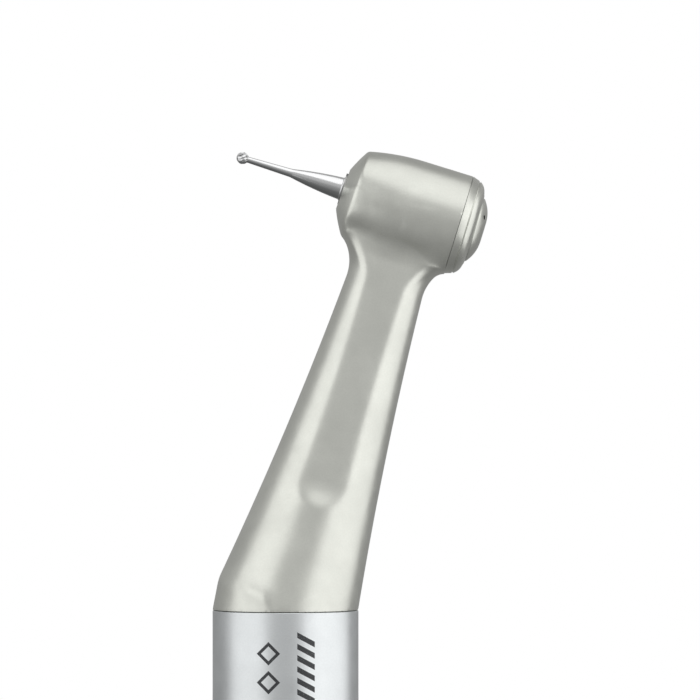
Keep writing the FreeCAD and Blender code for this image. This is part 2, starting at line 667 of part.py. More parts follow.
# ---------------------------------------------------------------- handle
def main_train():
    """The shaft in the handle, its spacer, bearing holder and holder nut."""
    journal = d.main_inner - d.slip
    shaft = turned("main_shaft", HANDLE, [
        (0, d.main_shaft_start), (journal, d.main_shaft_start), (journal, d.main_shaft_end),
        (0, d.main_shaft_end)])
    reach = d.dog_pin_length
    hole = draw_circle(shaft, "XZ_Plane", size(0), d.dog_pin_height, d.dog_pin_radius + d.slip)
    extrude(shaft, hole, reach, cut=True)
    tube("main_shaft_spacer", HANDLE, d.main_inner + d.slip, d.main_spacer,
         d.main_rear_start + d.main_width, d.main_front_start)
    seat = d.main_outer + d.slip
    turned("bearing_holder", HANDLE, [
        (d.holder_nut_seat, d.holder_start), (d.holder_outside, d.holder_start),
        (d.holder_outside, d.holder_step), (d.holder_thread, d.holder_step),
        (d.holder_thread, d.holder_end), (d.holder_room, d.holder_end),
        (d.holder_room, d.holder_shoulder_end), (d.holder_shoulder, d.holder_shoulder_end),
        (d.holder_shoulder, d.main_front_start + d.main_width),
        (seat, d.main_front_start + d.main_width), (seat, d.main_rear_start),
        (d.holder_nut_seat, d.main_rear_start)])
    nut = tube("bearing_holder_nut", HANDLE, d.holder_nut_hole, d.holder_nut_seat - d.running,
               d.holder_nut_low, d.main_rear_start)
    cut_slot(nut, d.holder_nut_seat, d.holder_nut_low - 1, d.holder_nut_low + d.slot_depth)


def drive_dog():
    """The sprung two-claw coupling that slides on the main shaft, its pin and its spring."""
    dog = tube("drive_dog", HANDLE, d.main_inner + d.running, d.dog_outside, d.dog_start,
               d.dog_end)
    reach = d.dog_outside * 2
    gap = draw(dog, "XZ_Plane", box_outline(-reach, reach, d.dog_start - 1, d.claw_end))
    extrude(dog, gap, d.claw_gap, cut=True)
    half = d.dog_slot_width / 2
    slot = draw(dog, "XZ_Plane", box_outline(-half, half, d.dog_slot_low, d.dog_slot_high))
    extrude(dog, slot, reach * 2, cut=True)
    pin = new_body("dog_pin", HANDLE)
    round_end = draw_circle(pin, "XZ_Plane", size(0), d.dog_pin_height, d.dog_pin_radius)
    extrude(pin, round_end, d.dog_pin_length)
    coil_spring("dog_spring", HANDLE, d.dog_spring_radius.value, d.dog_spring_wire.value,
                d.dog_spring_low.value, d.dog_spring_high.value, d.dog_spring_turns.value)


def handle_shell():
    """The coupling tube, the grip sleeve over it, and the two rings at its rear end."""
    turned("coupling_tube", HANDLE, [
        (d.coupling_bore, 0), (d.tube_rear, 0), (d.tube_rear, d.tube_step),
        (d.tube_front, d.tube_step), (d.tube_front, d.tube_end), (d.holder_bore, d.tube_end),
        (d.holder_bore, d.dog_room_end), (d.dog_room, d.dog_room_end),
        (d.dog_room, d.coupling_depth), (d.coupling_bore, d.coupling_depth),
        (d.coupling_bore, d.lock_high), (d.lock_radius, d.lock_high),
        (d.lock_radius, d.lock_low), (d.coupling_bore, d.lock_low)])
    middle = (d.waist_start + d.waist_end) / 2
    middle_radius = (d.sleeve_radius + d.sleeve_waist) / 2
    outline = [(d.sleeve_rear_bore, d.colour_ring_end), (d.sleeve_radius, d.colour_ring_end)]
    for number in range(int(VALUES["grip_count"])):
        low = d.grip_first + d.grip_step * number
        high = low + d.grip_width
        outline += [(d.sleeve_radius, low), (d.sleeve_radius - d.grip_depth, low + d.grip_depth),
                    (d.sleeve_radius - d.grip_depth, high - d.grip_depth),
                    (d.sleeve_radius, high)]
    outline += [
        (d.sleeve_radius, d.waist_start, d.sleeve_bend),
        (middle_radius, middle, -d.sleeve_bend), (d.sleeve_waist, d.waist_end),
        (d.sleeve_waist, d.sleeve_top), (d.sleeve_lip, d.sleeve_top),
        (d.sleeve_lip, d.sleeve_lip_start), (d.holder_bore, d.sleeve_lip_start),
        (d.holder_bore, d.sleeve_front_start), (d.sleeve_mid_bore, d.sleeve_front_start),
        (d.sleeve_mid_bore, d.sleeve_mid_start), (d.sleeve_rear_bore, d.sleeve_mid_start)]
    turned("grip_sleeve", HANDLE, outline)
    tube("rear_ring", HANDLE, d.sleeve_rear_bore, d.rear_ring_radius, 0, d.rear_ring_end)
    tube("colour_ring", HANDLE, d.sleeve_rear_bore, d.sleeve_radius, d.rear_ring_end,
         d.colour_ring_end)


def all_bearings():
    bearing("head_front_bearing", HEAD, d.head_front_start, d.head_width, d.head_front_inner,
            d.head_front_outer, d.head_ball, d.head_front_count)
    bearing("head_rear_bearing", HEAD, d.head_rear_start, d.head_width, d.head_rear_inner,
            d.head_rear_outer, d.head_ball, d.head_rear_count)
    bearing("neck_front_bearing", NECK, d.front_seat_low, d.neck_front_width,
            d.neck_front_inner, d.neck_front_outer, d.neck_front_ball, d.neck_front_count)
    bearing("neck_rear_bearing", NECK, d.rear_seat_start, d.neck_rear_width,
            d.neck_rear_inner, d.neck_rear_outer, d.neck_rear_ball, d.neck_rear_count)
    for label, start in (("main_front_bearing", d.main_front_start),
                         ("main_rear_bearing", d.main_rear_start)):
        bearing(label, HANDLE, start, d.main_width, d.main_inner, d.main_outer, d.main_ball,
                d.main_count)


for build in (head_neck_housing, head_cap, push_button, spindle, bur, head_gears, bend_gears,
              neck_train, main_train, drive_dog, handle_shell, all_bearings):
    build()
doc.recompute()

# ---------------------------------------------------------------- checks and export
for item in doc.Objects:
    if "Invalid" in item.State or "Error" in item.State:
        raise RuntimeError("%s failed: %s" % (item.Label, item.State))

pieces = [item for item in doc.Objects
          if item.TypeId == "PartDesign::Body" or item.TypeId == "Part::Feature"]
for piece in pieces:
    if piece.Shape.isNull() or not piece.Shape.isValid() or not piece.Shape.Solids:
        raise RuntimeError("%s has no valid solid" % piece.Label)

for piece in pieces:
    piece.Shape.exportStep(os.path.join("parts", piece.Label + ".step"))
print("%d pieces written" % len(pieces))
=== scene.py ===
"""Looks for the contra angle handpiece: satin steel head and neck, sleeve, button, bur, springs.

Every outline is in millimetres, in one of three places read from the frame: the handle (along Z),
the neck (along the neck shaft's axis) and the head (along the spindle's axis, towards the button).
"""

import json
import math

import bpy
import numpy as np
from mathutils import Matrix, Vector

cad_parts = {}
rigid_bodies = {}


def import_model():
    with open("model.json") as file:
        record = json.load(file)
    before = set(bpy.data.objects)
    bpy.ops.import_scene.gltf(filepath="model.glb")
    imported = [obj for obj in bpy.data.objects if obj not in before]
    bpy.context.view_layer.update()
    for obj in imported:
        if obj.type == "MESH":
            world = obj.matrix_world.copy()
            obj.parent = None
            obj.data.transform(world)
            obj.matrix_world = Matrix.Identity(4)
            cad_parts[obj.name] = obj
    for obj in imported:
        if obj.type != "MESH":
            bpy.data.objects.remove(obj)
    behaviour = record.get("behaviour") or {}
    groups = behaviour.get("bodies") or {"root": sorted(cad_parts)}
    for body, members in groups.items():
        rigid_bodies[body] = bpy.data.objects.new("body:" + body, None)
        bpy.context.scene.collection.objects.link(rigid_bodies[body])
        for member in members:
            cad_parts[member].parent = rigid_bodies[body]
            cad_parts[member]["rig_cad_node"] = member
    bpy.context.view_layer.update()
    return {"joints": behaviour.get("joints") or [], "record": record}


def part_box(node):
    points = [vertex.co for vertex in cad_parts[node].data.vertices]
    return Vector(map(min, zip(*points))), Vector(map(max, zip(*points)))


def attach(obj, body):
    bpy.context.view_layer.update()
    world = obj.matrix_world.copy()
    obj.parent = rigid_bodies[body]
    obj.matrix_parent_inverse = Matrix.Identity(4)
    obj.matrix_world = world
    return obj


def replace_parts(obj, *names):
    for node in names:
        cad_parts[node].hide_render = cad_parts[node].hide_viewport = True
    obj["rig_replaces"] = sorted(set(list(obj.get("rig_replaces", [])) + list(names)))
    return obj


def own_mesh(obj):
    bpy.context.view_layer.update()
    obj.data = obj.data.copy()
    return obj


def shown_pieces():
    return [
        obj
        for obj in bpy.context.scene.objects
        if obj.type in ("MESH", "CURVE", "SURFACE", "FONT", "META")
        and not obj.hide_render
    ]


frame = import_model()

# ---------------------------------------------------------------- places, from the frame
MM = 0.001
JOINTS = {joint["name"]: joint for joint in frame["joints"]}
SLOTS = {sub["node"]: sub["material_slot"] for sub in frame["record"]["subparts"]}
BEND = Vector(JOINTS["neck_spin"]["pos_m"])
UP_NECK = Vector(JOINTS["neck_spin"]["axis"]).normalized()
HEAD_CENTRE = Vector(JOINTS["spindle_spin"]["pos_m"])
TO_BUTTON = -Vector(JOINTS["spindle_spin"]["axis"]).normalized()
SIDE = Vector((0, 1, 0))
TILT = math.atan2(UP_NECK.x, UP_NECK.z)
NECK_LENGTH = (HEAD_CENTRE - BEND).dot(UP_NECK) / MM
SLEEVE_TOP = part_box("grip_sleeve")[1].z / MM
SLEEVE_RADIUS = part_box("grip_sleeve")[1].y / MM
BARREL_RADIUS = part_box("head_cap")[1].y / MM


def place(x_axis, y_axis, z_axis, origin):
    """A matrix that takes millimetres in a local frame to metres in the row frame."""
    turn = Matrix((x_axis, y_axis, z_axis)).transposed().to_4x4()
    return Matrix.Translation(origin) @ turn @ Matrix.Scale(MM, 4)


IN_HANDLE = Matrix.Scale(MM, 4)
IN_NECK = place(TO_BUTTON, SIDE, UP_NECK, BEND)
IN_HEAD = place(-UP_NECK, SIDE, TO_BUTTON, HEAD_CENTRE)


# ---------------------------------------------------------------- mesh tools
def new_piece(name, points, faces, where, body, stands_for=None, sharp=32):
    """A smooth-shaded piece from points in millimetres, riding on a body."""
    matrix = np.array(where)
    placed = np.asarray(points, float) @ matrix[:3, :3].T + matrix[:3, 3]
    mesh = bpy.data.meshes.new(name)
    mesh.from_pydata(placed.tolist(), [], faces)
    mesh.polygons.foreach_set("use_smooth", [True] * len(mesh.polygons))
    mesh.set_sharp_from_angle(angle=math.radians(sharp))
    mesh.validate()
    piece = bpy.data.objects.new(name, mesh)
    bpy.context.scene.collection.objects.link(piece)
    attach(piece, body)
    if stands_for:
        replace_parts(piece, stands_for)
    return piece


def arc(start, end, bend, steps=12):
    """Points after start up to end on an arc; a positive bend has its centre left of the way."""
    a, b = np.array(start, float), np.array(end, float)
    chord = b - a
    length = np.hypot(*chord)
    normal = np.array([-chord[1], chord[0]]) / length
    centre = (a + b) / 2 + normal * math.sqrt(bend ** 2 - length ** 2 / 4) * np.sign(bend)
    first = math.atan2(*(a - centre)[::-1])
    last = math.atan2(*(b - centre)[::-1])
    sweep = (last - first + math.pi) % (2 * math.pi) - math.pi
    angles = first + sweep * np.arange(1, steps + 1) / steps
    return [tuple(centre + abs(bend) * np.array([math.cos(t), math.sin(t)])) for t in angles]


def outline(*corners, closed=True):
    """Profile points from corners (radius, along, rounding[, bend of the arc that arrives])."""
    points, rounding = [], []
    for corner in corners:
        if len(corner) == 4:
            stretch = arc(points[-1], corner[:2], corner[3])
            points += stretch
            rounding += [0] * (len(stretch) - 1) + [corner[2]]
        else:
            points.append(corner[:2])
            rounding.append(corner[2])
    out = []
    for i, (point, radius) in enumerate(zip(points, rounding)):
        at_end = not closed and i in (0, len(points) - 1)
        if radius <= 0 or at_end:
            out.append(tuple(point))
            continue
        here = np.array(point, float)
        back = np.array(points[i - 1], float) - here
        on = np.array(points[(i + 1) % len(points)], float) - here
        reach = min(radius, 0.45 * np.hypot(*back), 0.45 * np.hypot(*on))
        first = here + back / np.hypot(*back) * reach
        last = here + on / np.hypot(*on) * reach
        for t in np.linspace(0, 1, 5):
            curve = (1 - t) ** 2 * first + 2 * t * (1 - t) * here + t * t * last
            out.append(tuple(curve))
    return out


def lathe(profile, segments=160, closed=True, shape=None):
    """Points and faces of a turned form; shape(radius, along, angle) may change the radius."""
    points, rows, faces = [], [], []
    angles = np.arange(segments) * 2 * math.pi / segments
    for radius, along in profile:
        if radius < 1e-6:
            rows.append([len(points)] * segments)
            points.append((0, 0, along))
            continue
        rows.append(list(range(len(points), len(points) + segments)))
        for angle in angles:
            r = shape(radius, along, angle) if shape else radius
            points.append((r * math.cos(angle), r * math.sin(angle), along))
    pairs = list(zip(rows, rows[1:]))
    if closed:
        pairs.append((rows[-1], rows[0]))
    for lower, upper in pairs:
        for i in range(segments):
            j = (i + 1) % segments
            corners = [lower[i], lower[j], upper[j], upper[i]]
            face = [v for k, v in enumerate(corners) if v != corners[k - 1]]
            if len(face) > 2:
                faces.append(face)
    return points, faces


def turned(name, profile, where, body, slot, stands_for=None, **more):
    points, faces = lathe(profile, **more)
    return new_piece(name, points, faces, where, body, stands_for)


def coil(radius, wire, low, high, turns, ring=10, steps=48):
    """Points and faces of a coil spring about the local Z axis, with its end turns closed."""
    count = int(turns * steps)
    share = np.linspace(0, 1, count + 1)
    angle = share * turns * 2 * math.pi
    eased = share - np.sin(2 * math.pi * share) / (4 * math.pi)
    rise = low + wire + (high - low - 2 * wire) * eased
    points, faces = [], []
    for a, z in zip(angle, rise):
        for k in range(ring):
            t = 2 * math.pi * k / ring
            r = radius + wire * math.cos(t)
            points.append((r * math.cos(a), r * math.sin(a), z + wire * math.sin(t)))
    for i in range(count):
        for k in range(ring):
            n = (k + 1) % ring
            faces.append([i * ring + k, (i + 1) * ring + k, (i + 1) * ring + n, i * ring + n])
    faces.append(list(range(ring)))
    faces.append([count * ring + k for k in reversed(range(ring))])
    return points, faces


# ---------------------------------------------------------------- solid fields
BISECTIONS, EASING_PASSES = 8, 6
NEARLY_FLAT = 0.985  # length of the mean normal above which a point counts as smooth
HOLD = 0.05  # pull of each point towards the middle of its crossings


def smooth_max(a, b, width):
    """The larger of two fields, with the crease between them rounded over a width."""
    near = np.maximum(width - np.abs(a - b), 0) / width
    return np.maximum(a, b) + near * near * width / 4


def smooth_min(a, b, width):
    return -smooth_max(-a, -b, width)


def fade(low, high, value):
    """0 below low, 1 above high, and a smooth step between."""
    t = np.clip((value - low) / (high - low), 0, 1)
    return t * t * (3 - 2 * t)


def gradient(field, points, step=0.01):
    shift = np.eye(3) * step
    slopes = [field(points + shift[i]) - field(points - shift[i]) for i in range(3)]
    return np.stack(slopes, -1) / (2 * step)


def contour(field, low, high, cell):
    """Dual contouring: points and quads of the surface where the field crosses zero."""
    low = np.array(low, float)
    counts = np.ceil((np.array(high) - low) / cell).astype(int) + 1
    axes = [low[i] + cell * np.arange(counts[i]) for i in range(3)]
    inside = np.empty(counts, bool)
    for i, x in enumerate(axes[0]):
        slab = np.stack(np.meshgrid([x], axes[1], axes[2], indexing="ij"), -1)
        inside[i] = field(slab)[0] < 0
    cells, hits, normals, corners, flips = [], [], [], [], []
    for axis in range(3):
        b, c = (axis + 1) % 3, (axis + 2) % 3
        front = [slice(None)] * 3
        back = [slice(None)] * 3
        front[axis], back[axis] = slice(1, None), slice(None, -1)
        starts = np.argwhere(inside[tuple(front)] != inside[tuple(back)])
        from_inside = inside[tuple(starts.T)]
        unit = np.zeros(3)
        unit[axis] = cell
        near, far = np.zeros(len(starts)), np.ones(len(starts))
        base = low + starts * cell
        for _ in range(BISECTIONS):
            middle = (near + far) / 2
            same = (field(base + middle[:, None] * unit) < 0) == from_inside
            near, far = np.where(same, middle, near), np.where(same, far, middle)
        hit = base + ((near + far) / 2)[:, None] * unit
        slope = gradient(field, hit)
        slope /= np.linalg.norm(slope, axis=1, keepdims=True)
        around = []
        for step_b, step_c in ((0, 0), (1, 0), (1, 1), (0, 1)):
            offset = np.zeros(3, int)
            offset[b], offset[c] = -step_b, -step_c
            around.append(np.ravel_multi_index((starts + offset).T, counts))
        cells += around
        hits += [hit] * 4
        normals += [slope] * 4
        corners.append(np.stack(around, 1))
        flips.append(~from_inside)
    ids, slot = np.unique(np.concatenate(cells), return_inverse=True)
    hit, slope = np.concatenate(hits), np.concatenate(normals)
    count = np.bincount(slot)

    def total(values):
        return np.bincount(slot, weights=values)

    centre = np.stack([total(hit[:, i]) for i in range(3)], 1) / count[:, None]
    offset = np.sum(slope * (hit - centre[slot]), 1)
    right = np.stack([total(slope[:, i] * offset) for i in range(3)], 1)
    left = np.empty((len(ids), 3, 3))
    for i in range(3):
        for j in range(3):
            left[:, i, j] = total(slope[:, i] * slope[:, j]) + (HOLD if i == j else 0)
    step = np.linalg.solve(left, right[:, :, None])[:, :, 0]
    points = centre + np.clip(step, -cell, cell)
    quads = np.searchsorted(ids, np.concatenate(corners))
    flip = np.concatenate(flips)
    quads[flip] = quads[flip][:, ::-1]
    mean = np.stack([total(slope[:, i]) for i in range(3)], 1) / count[:, None]
    smooth = (np.linalg.norm(mean, axis=1) > NEARLY_FLAT)[:, None]
    ends = np.concatenate([quads[:, [i, (i + 1) % 4]] for i in range(4)])
    for _ in range(EASING_PASSES):
        around = [np.bincount(ends[:, 0], points[ends[:, 1], i], len(points)) +
                  np.bincount(ends[:, 1], points[ends[:, 0], i], len(points)) for i in range(3)]
        share = np.bincount(ends.ravel(), minlength=len(points))
        points = np.where(smooth, 0.5 * points + 0.5 * np.stack(around, 1) / share[:, None], points)
        value, slope = field(points), gradient(field, points)
        move = value / np.maximum(np.sum(slope * slope, 1), 0.2)
        points = points - slope * np.clip(move, -cell / 3, cell / 3)[:, None]
    return points, quads


# ---------------------------------------------------------------- head and neck housing
NECK_BASE, FLARE_START = -3.2, 32.7
NECK_BASE_RADIUS, NECK_TOP_RADIUS, NECK_HOLLOW = 7.64, 3.87, 1.72
FLARE_BEND, FLARE_LIMIT, NOSE_FLARE_LIMIT, NOSE_CLIP_END = 4.35, 5.1, 6.6, 4.8
FLAT_SLOPE, FLAT_AT_HEAD = 0.0901, 2.574
FLAT_TOP_BEND, FLAT_END_BEND, FLAT_END_DROP, FLAT_INSET = 3.5, 5.4, 27.8, 0.3
SEAM, NOSE_END, NOSE_HOLE, CORNER_RADIUS, CORNER = 5.15, -6.6, 2.0, 4.27, -5.4
NOSE_BEND, BARREL_TAPER, FULL_START = 15.0, 0.022, 0.2
FLAT_EDGE, FLAT_EDGE_AT_HEAD, NOSE_EDGE, SEAM_EDGE = 0.34, 1.0, 0.16, 0.07
CREASE, COLLAR_EDGE = 0.8, 0.16
COLLAR_RADIUS, COLLAR_LEAN, COLLAR_SHIFT, COLLAR_TOP = 7.16, math.radians(10.9), 0.13, 51.8
RIDGE_HEIGHT, RIDGE_WIDTH = 0.13, 0.13
BASE_OPENING, BASE_OPENING_END, BASE_GAP = 5.95, 50.5, 0.03
NECK_BORES = [  # radius, from, to, along the neck
    (4.8, -8, 3.0), (4.4, 3.0, 5.0), (3.91, 5.0, 7.6), (2.9, 7.6, 30.5),
    (2.51, 30.5, 33.0), (1.9, 33.0, 37.0), (2.9, 37.0, 40.7)]
HEAD_SHOULDER = -5.54  # clear of the front bearing, whose inner ring turns just behind it
HEAD_BORES = [  # radius, from, to, along the head
    (NOSE_HOLE, -8, HEAD_SHOULDER), (3.21, HEAD_SHOULDER, -3.3), (3.9, -3.3, 2.6), (4.15, 2.6, 8)]


def neck_radius(drop, x):
    """Radius of the round neck at a distance below the head's axis; it flares more at the nose."""
    share = (NECK_LENGTH - drop - NECK_BASE) / (FLARE_START - NECK_BASE)
    spread = NECK_BASE_RADIUS - NECK_TOP_RADIUS
    taper = NECK_BASE_RADIUS - spread * share - NECK_HOLLOW * share * (1 - share)
    end_slope = (spread - NECK_HOLLOW) / (FLARE_START - NECK_BASE)
    flare_drop = NECK_LENGTH - FLARE_START
    lowest = flare_drop - FLARE_BEND * math.sin(math.atan(end_slope))
    centre = NECK_TOP_RADIUS + FLARE_BEND * math.cos(math.atan(end_slope))
    rise = np.clip(lowest - drop, lowest - flare_drop, FLARE_BEND * 0.95)
    flare = centre - np.sqrt(FLARE_BEND ** 2 - rise ** 2)
    limit = FLARE_LIMIT + (NOSE_FLARE_LIMIT - FLARE_LIMIT) * fade(0.5, -1.5, x)
    return np.where(drop > flare_drop, taper, np.minimum(flare, limit))


def flat_half_width(drop):
    """Half the neck's thickness between its flats at a distance below the head's axis."""
    lean = math.sqrt(1 + FLAT_SLOPE ** 2)
    reach = BARREL_RADIUS + FLAT_TOP_BEND
    start = FLAT_AT_HEAD + FLAT_TOP_BEND * lean
    top = (-start * FLAT_SLOPE + math.sqrt(reach ** 2 * lean ** 2 - start ** 2)) / lean ** 2
    top_centre = start + FLAT_SLOPE * top
    meets_flat = top + FLAT_TOP_BEND * FLAT_SLOPE / lean
    meets_barrel = top * BARREL_RADIUS / reach
    flat = FLAT_AT_HEAD + FLAT_SLOPE * drop
    rise = np.clip(drop - top, -FLAT_TOP_BEND, FLAT_TOP_BEND)
    hollow = top_centre - np.sqrt(FLAT_TOP_BEND ** 2 - rise ** 2)
    barrel = np.sqrt(np.maximum(BARREL_RADIUS ** 2 - drop ** 2, 0))
    barrel = barrel - FLAT_INSET * (1 - fade(0, meets_barrel, drop))
    end_centre = FLAT_AT_HEAD + FLAT_SLOPE * FLAT_END_DROP + FLAT_END_BEND / lean
    past = drop - FLAT_END_DROP + FLAT_END_BEND * FLAT_SLOPE / lean
    end_limit = FLAT_END_BEND * 0.85
    end = end_centre - np.sqrt(FLAT_END_BEND ** 2 - np.clip(past, 0, end_limit) ** 2)
    end = end + 2 * np.maximum(past - end_limit, 0)
    half = np.where(drop > FLAT_END_DROP, end, flat)
    half = np.where(drop < meets_flat, hollow, half)
    return np.where(drop < meets_barrel, barrel, half)


def barrel_radius(x):
    return BARREL_RADIUS - BARREL_TAPER * np.maximum(FULL_START - x, 0) ** 2


def nose_field(across, x):
    """The slightly domed front face, an arc from the nose hole to the front corner."""
    a, b = np.array([NOSE_HOLE, NOSE_END]), np.array([CORNER_RADIUS, CORNER])
    chord = b - a
    half = np.hypot(*chord) / 2
    inward = np.array([-chord[1], chord[0]]) / (2 * half)
    centre = (a + b) / 2 + inward * math.sqrt(NOSE_BEND ** 2 - half ** 2)
    return np.hypot(across - centre[0], x - centre[1]) - NOSE_BEND


def housing_field(p):
    """Below zero inside the housing; x towards the button, z up the neck, in millimetres."""
    x, y, z = p[..., 0], p[..., 1], p[..., 2]
    drop = NECK_LENGTH - z
    across = np.hypot(y, drop)
    rounded = np.hypot(x, y) - neck_radius(drop, x)
    local = barrel_radius(x)
    scale = 1 - (1 - local / BARREL_RADIUS) * (1 - fade(4.0, 6.5, drop))
    flats = np.abs(y) - scale * flat_half_width(drop / scale)
    edge = FLAT_EDGE + (FLAT_EDGE_AT_HEAD - FLAT_EDGE) * (1 - fade(3.5, 8, drop))
    nose = nose_field(across, x)
    neck = np.maximum(smooth_max(rounded, flats, edge), -drop)
    neck = smooth_max(neck, nose - 1.5 * np.maximum(drop - NOSE_CLIP_END, 0), NOSE_EDGE)
    barrel = smooth_max(across - local, nose, NOSE_EDGE)
    barrel = smooth_max(barrel, x - SEAM, SEAM_EDGE)
    crease = 0.01 + CREASE * fade(-1.6, 0.2, rounded - flats)
    solid = smooth_min(neck, barrel, crease)

    row_x = BEND.x / MM + x * TO_BUTTON.x + z * UP_NECK.x
    row_z = BEND.z / MM + x * TO_BUTTON.z + z * UP_NECK.z
    aside, above = row_x - COLLAR_SHIFT, row_z - SLEEVE_TOP
    leaning = aside * math.cos(COLLAR_LEAN) - above * math.sin(COLLAR_LEAN)
    release = 0.5 * np.maximum(row_z - COLLAR_TOP, 0)
    collar = np.hypot(leaning, y) - COLLAR_RADIUS - release
    crest = np.exp(-((solid - collar) / RIDGE_WIDTH) ** 2)
    crest = crest * fade(-4.6, -3.2, row_x) * fade(-1.0, -2.2, row_x) * fade(-1.0, -3.0, y)
    solid = smooth_max(solid, collar, COLLAR_EDGE) - RIDGE_HEIGHT * crest
    solid = smooth_max(solid, SLEEVE_TOP + BASE_GAP - row_z, SEAM_EDGE)

    hollow = np.maximum(np.hypot(row_x, y) - BASE_OPENING, row_z - BASE_OPENING_END)
    rho = np.hypot(x, y)
    for radius, start, end in NECK_BORES:
        hollow = np.minimum(hollow, np.maximum(rho - radius, np.maximum(start - z, z - end)))
    for radius, start, end in HEAD_BORES:
        hollow = np.minimum(hollow, np.maximum(across - radius, np.maximum(start - x, x - end)))
    return np.maximum(solid, -hollow)


COARSE_CELL, FINE_CELL = 0.3, 0.18


def make_housing():
    cell = FINE_CELL
    half = NECK_BASE_RADIUS + 1.5
    low, high = (-half, -half, -5), (half, half, NECK_LENGTH + BARREL_RADIUS + 0.5)
    points, quads = contour(housing_field, low, high, cell)
    return new_piece("housing", points, quads.tolist(), IN_NECK, "handle",
                     "head_neck_housing", sharp=40)


# ---------------------------------------------------------------- turned pieces
def make_head_cap():
    """Rear cap: a coned edge, a fine groove, a rounded shoulder and a thin lip."""
    profile = outline(
        (3.61, 2.75, 0.1), (4.08, 2.75, 0.1), (4.1, SEAM + 0.02, 0.01),
        (BARREL_RADIUS, SEAM + 0.02, 0.04), (4.72, 5.88, 0.05), (4.6, 5.9, 0.02),
        (4.6, 6.0, 0.02), (4.68, 6.0, 0.04), (3.75, 6.65, 0, 1.4), (3.36, 6.77, 0.04),
        (3.3, 6.71, 0.02), (3.3, 6.46, 0.02), (3.69, 6.46, 0.02), (3.69, 5.26, 0.02),
        (2.4, 5.26, 0.05), (2.4, 5.0, 0.05), (3.0, 5.0, 0.05), (3.0, 4.91, 0.02),
        (3.61, 4.91, 0.02))
    return turned("cap", profile, IN_HEAD, "handle", "housing_steel", "head_cap", segments=192)


PIN_HOLE_RADIUS, PIN_HOLE_UP, PIN_HOLE_ASIDE = 0.21, 1.4, 2.0
PIN_HOLE_FLOOR, PIN_HOLE_TOP = 6.78, 8.0
DRILL_SIDES = 40


def make_button():
    """Domed button with its coned plunger inside and two spanner holes in the dome."""
    dome = [(3.2, 6.4, 0.02), (3.2, 6.86, 0.07), (1.0, 7.68, 0.1, 3.49), (0, 7.68, 0)]
    profile = outline(
        (0, 5.25, 0), (0.84, 5.25, 0.05), (1.37, 5.91, 0.05), (1.37, 6.7, 0.05),
        (3.0, 6.7, 0.05), (3.0, 6.0, 0.05), (3.6, 6.0, 0.05), (3.6, 6.4, 0.05), *dome, closed=False)
    points, faces = lathe(profile, segments=192, closed=False)
    button = new_piece("button", points, faces, IN_HEAD, "push_button",
                       "push_button")
    holes = [(-PIN_HOLE_UP * side, -PIN_HOLE_ASIDE * side) for side in (1, -1)]
    drill(button, IN_HEAD, holes, PIN_HOLE_RADIUS, PIN_HOLE_FLOOR, PIN_HOLE_TOP)
    return button


def drill(piece, where, centres, radius, low, high):
    """Cut round blind holes into a piece, straight along the local axis, with walls painted
    near-black as painted shade.
    """
    piece.data.materials.append(None)
    # near-black painted shade for the hole walls, standing in for the shade that falls inside deep
    # holes
    dark = satin_metal("painted_shade_hole", (0.02, 0.02, 0.02, 1), 0.6).material
    for centre in centres:
        rod = [(0, low), (radius, low), (radius, high), (0, high)]
        points, faces = lathe(rod, DRILL_SIDES, closed=False)
        points = [(x + centre[0], y + centre[1], z) for x, y, z in points]
        matrix = np.array(where)
        placed = np.array(points) @ matrix[:3, :3].T + matrix[:3, 3]
        mesh = bpy.data.meshes.new("drill")
        mesh.from_pydata(placed.tolist(), [], faces)
        mesh.materials.append(dark)
        tool = bpy.data.objects.new("drill", mesh)
        bpy.context.scene.collection.objects.link(tool)
        cut = piece.modifiers.new("hole", "BOOLEAN")
        cut.operation, cut.solver, cut.object = "DIFFERENCE", "EXACT", tool
        cut.material_mode = "TRANSFER"
        seen = piece.evaluated_get(bpy.context.evaluated_depsgraph_get())
        drilled = bpy.data.meshes.new_from_object(seen)
        piece.modifiers.clear()
        piece.data = drilled
        bpy.data.objects.remove(tool)


BUR_FLUTES, BALL_RADIUS, BALL_CENTRE = 8, 0.6, -17.0


def bur_shape(radius, along, angle):
    """Cuts the drive flat into the shank, and twisted flutes into the ball."""
    if 0.4 < along < 4.42:
        return min(radius, 0.75 / max(math.cos(angle), 1e-6)) if math.cos(angle) > 0 else radius
    if along < BALL_CENTRE + 0.5:
        level = (along - BALL_CENTRE) / BALL_RADIUS
        turn = (angle + 0.9 * level) * BUR_FLUTES / (2 * math.pi)
        return radius * (1 - 0.2 * (1 - turn % 1) ** 2 * (1 - level ** 4))
    return radius


def make_bur():
    """Latch-type bur: grooved shank with a drive flat, a long slim neck and a fluted ball."""
    tip = BALL_CENTRE - BALL_RADIUS
    ball = [(BALL_RADIUS * math.sin(t), BALL_CENTRE - BALL_RADIUS * math.cos(t), 0)
            for t in np.linspace(0.05, math.radians(148), 26)]
    profile = outline(
        (0, tip, 0), *ball, (0.3, -16.42, 0), (0.42, -12.0, 0.3), (1.1, -6.9, 0.06, 40.0),
        (1.175, -6.85, 0.02), (1.175, 0.38, 0), (1.175, 0.42, 0), (1.175, 3.38, 0.05),
        (0.92, 3.42, 0.05), (0.92, 3.98, 0.05), (1.175, 4.02, 0.05), (1.175, 4.25, 0.05),
        (1.02, 4.4, 0.05),
        (0, 4.4, 0), closed=False)
    return turned("round_bur", profile, IN_HEAD, "bur", "bur_steel", "bur",
                  segments=96, closed=False, shape=bur_shape)


GROOVE_FIRST, GROOVE_STEP, GROOVE_COUNT, GROOVE_WIDTH, GROOVE_DEPTH = 7.5, 1.5, 7, 0.6, 0.25


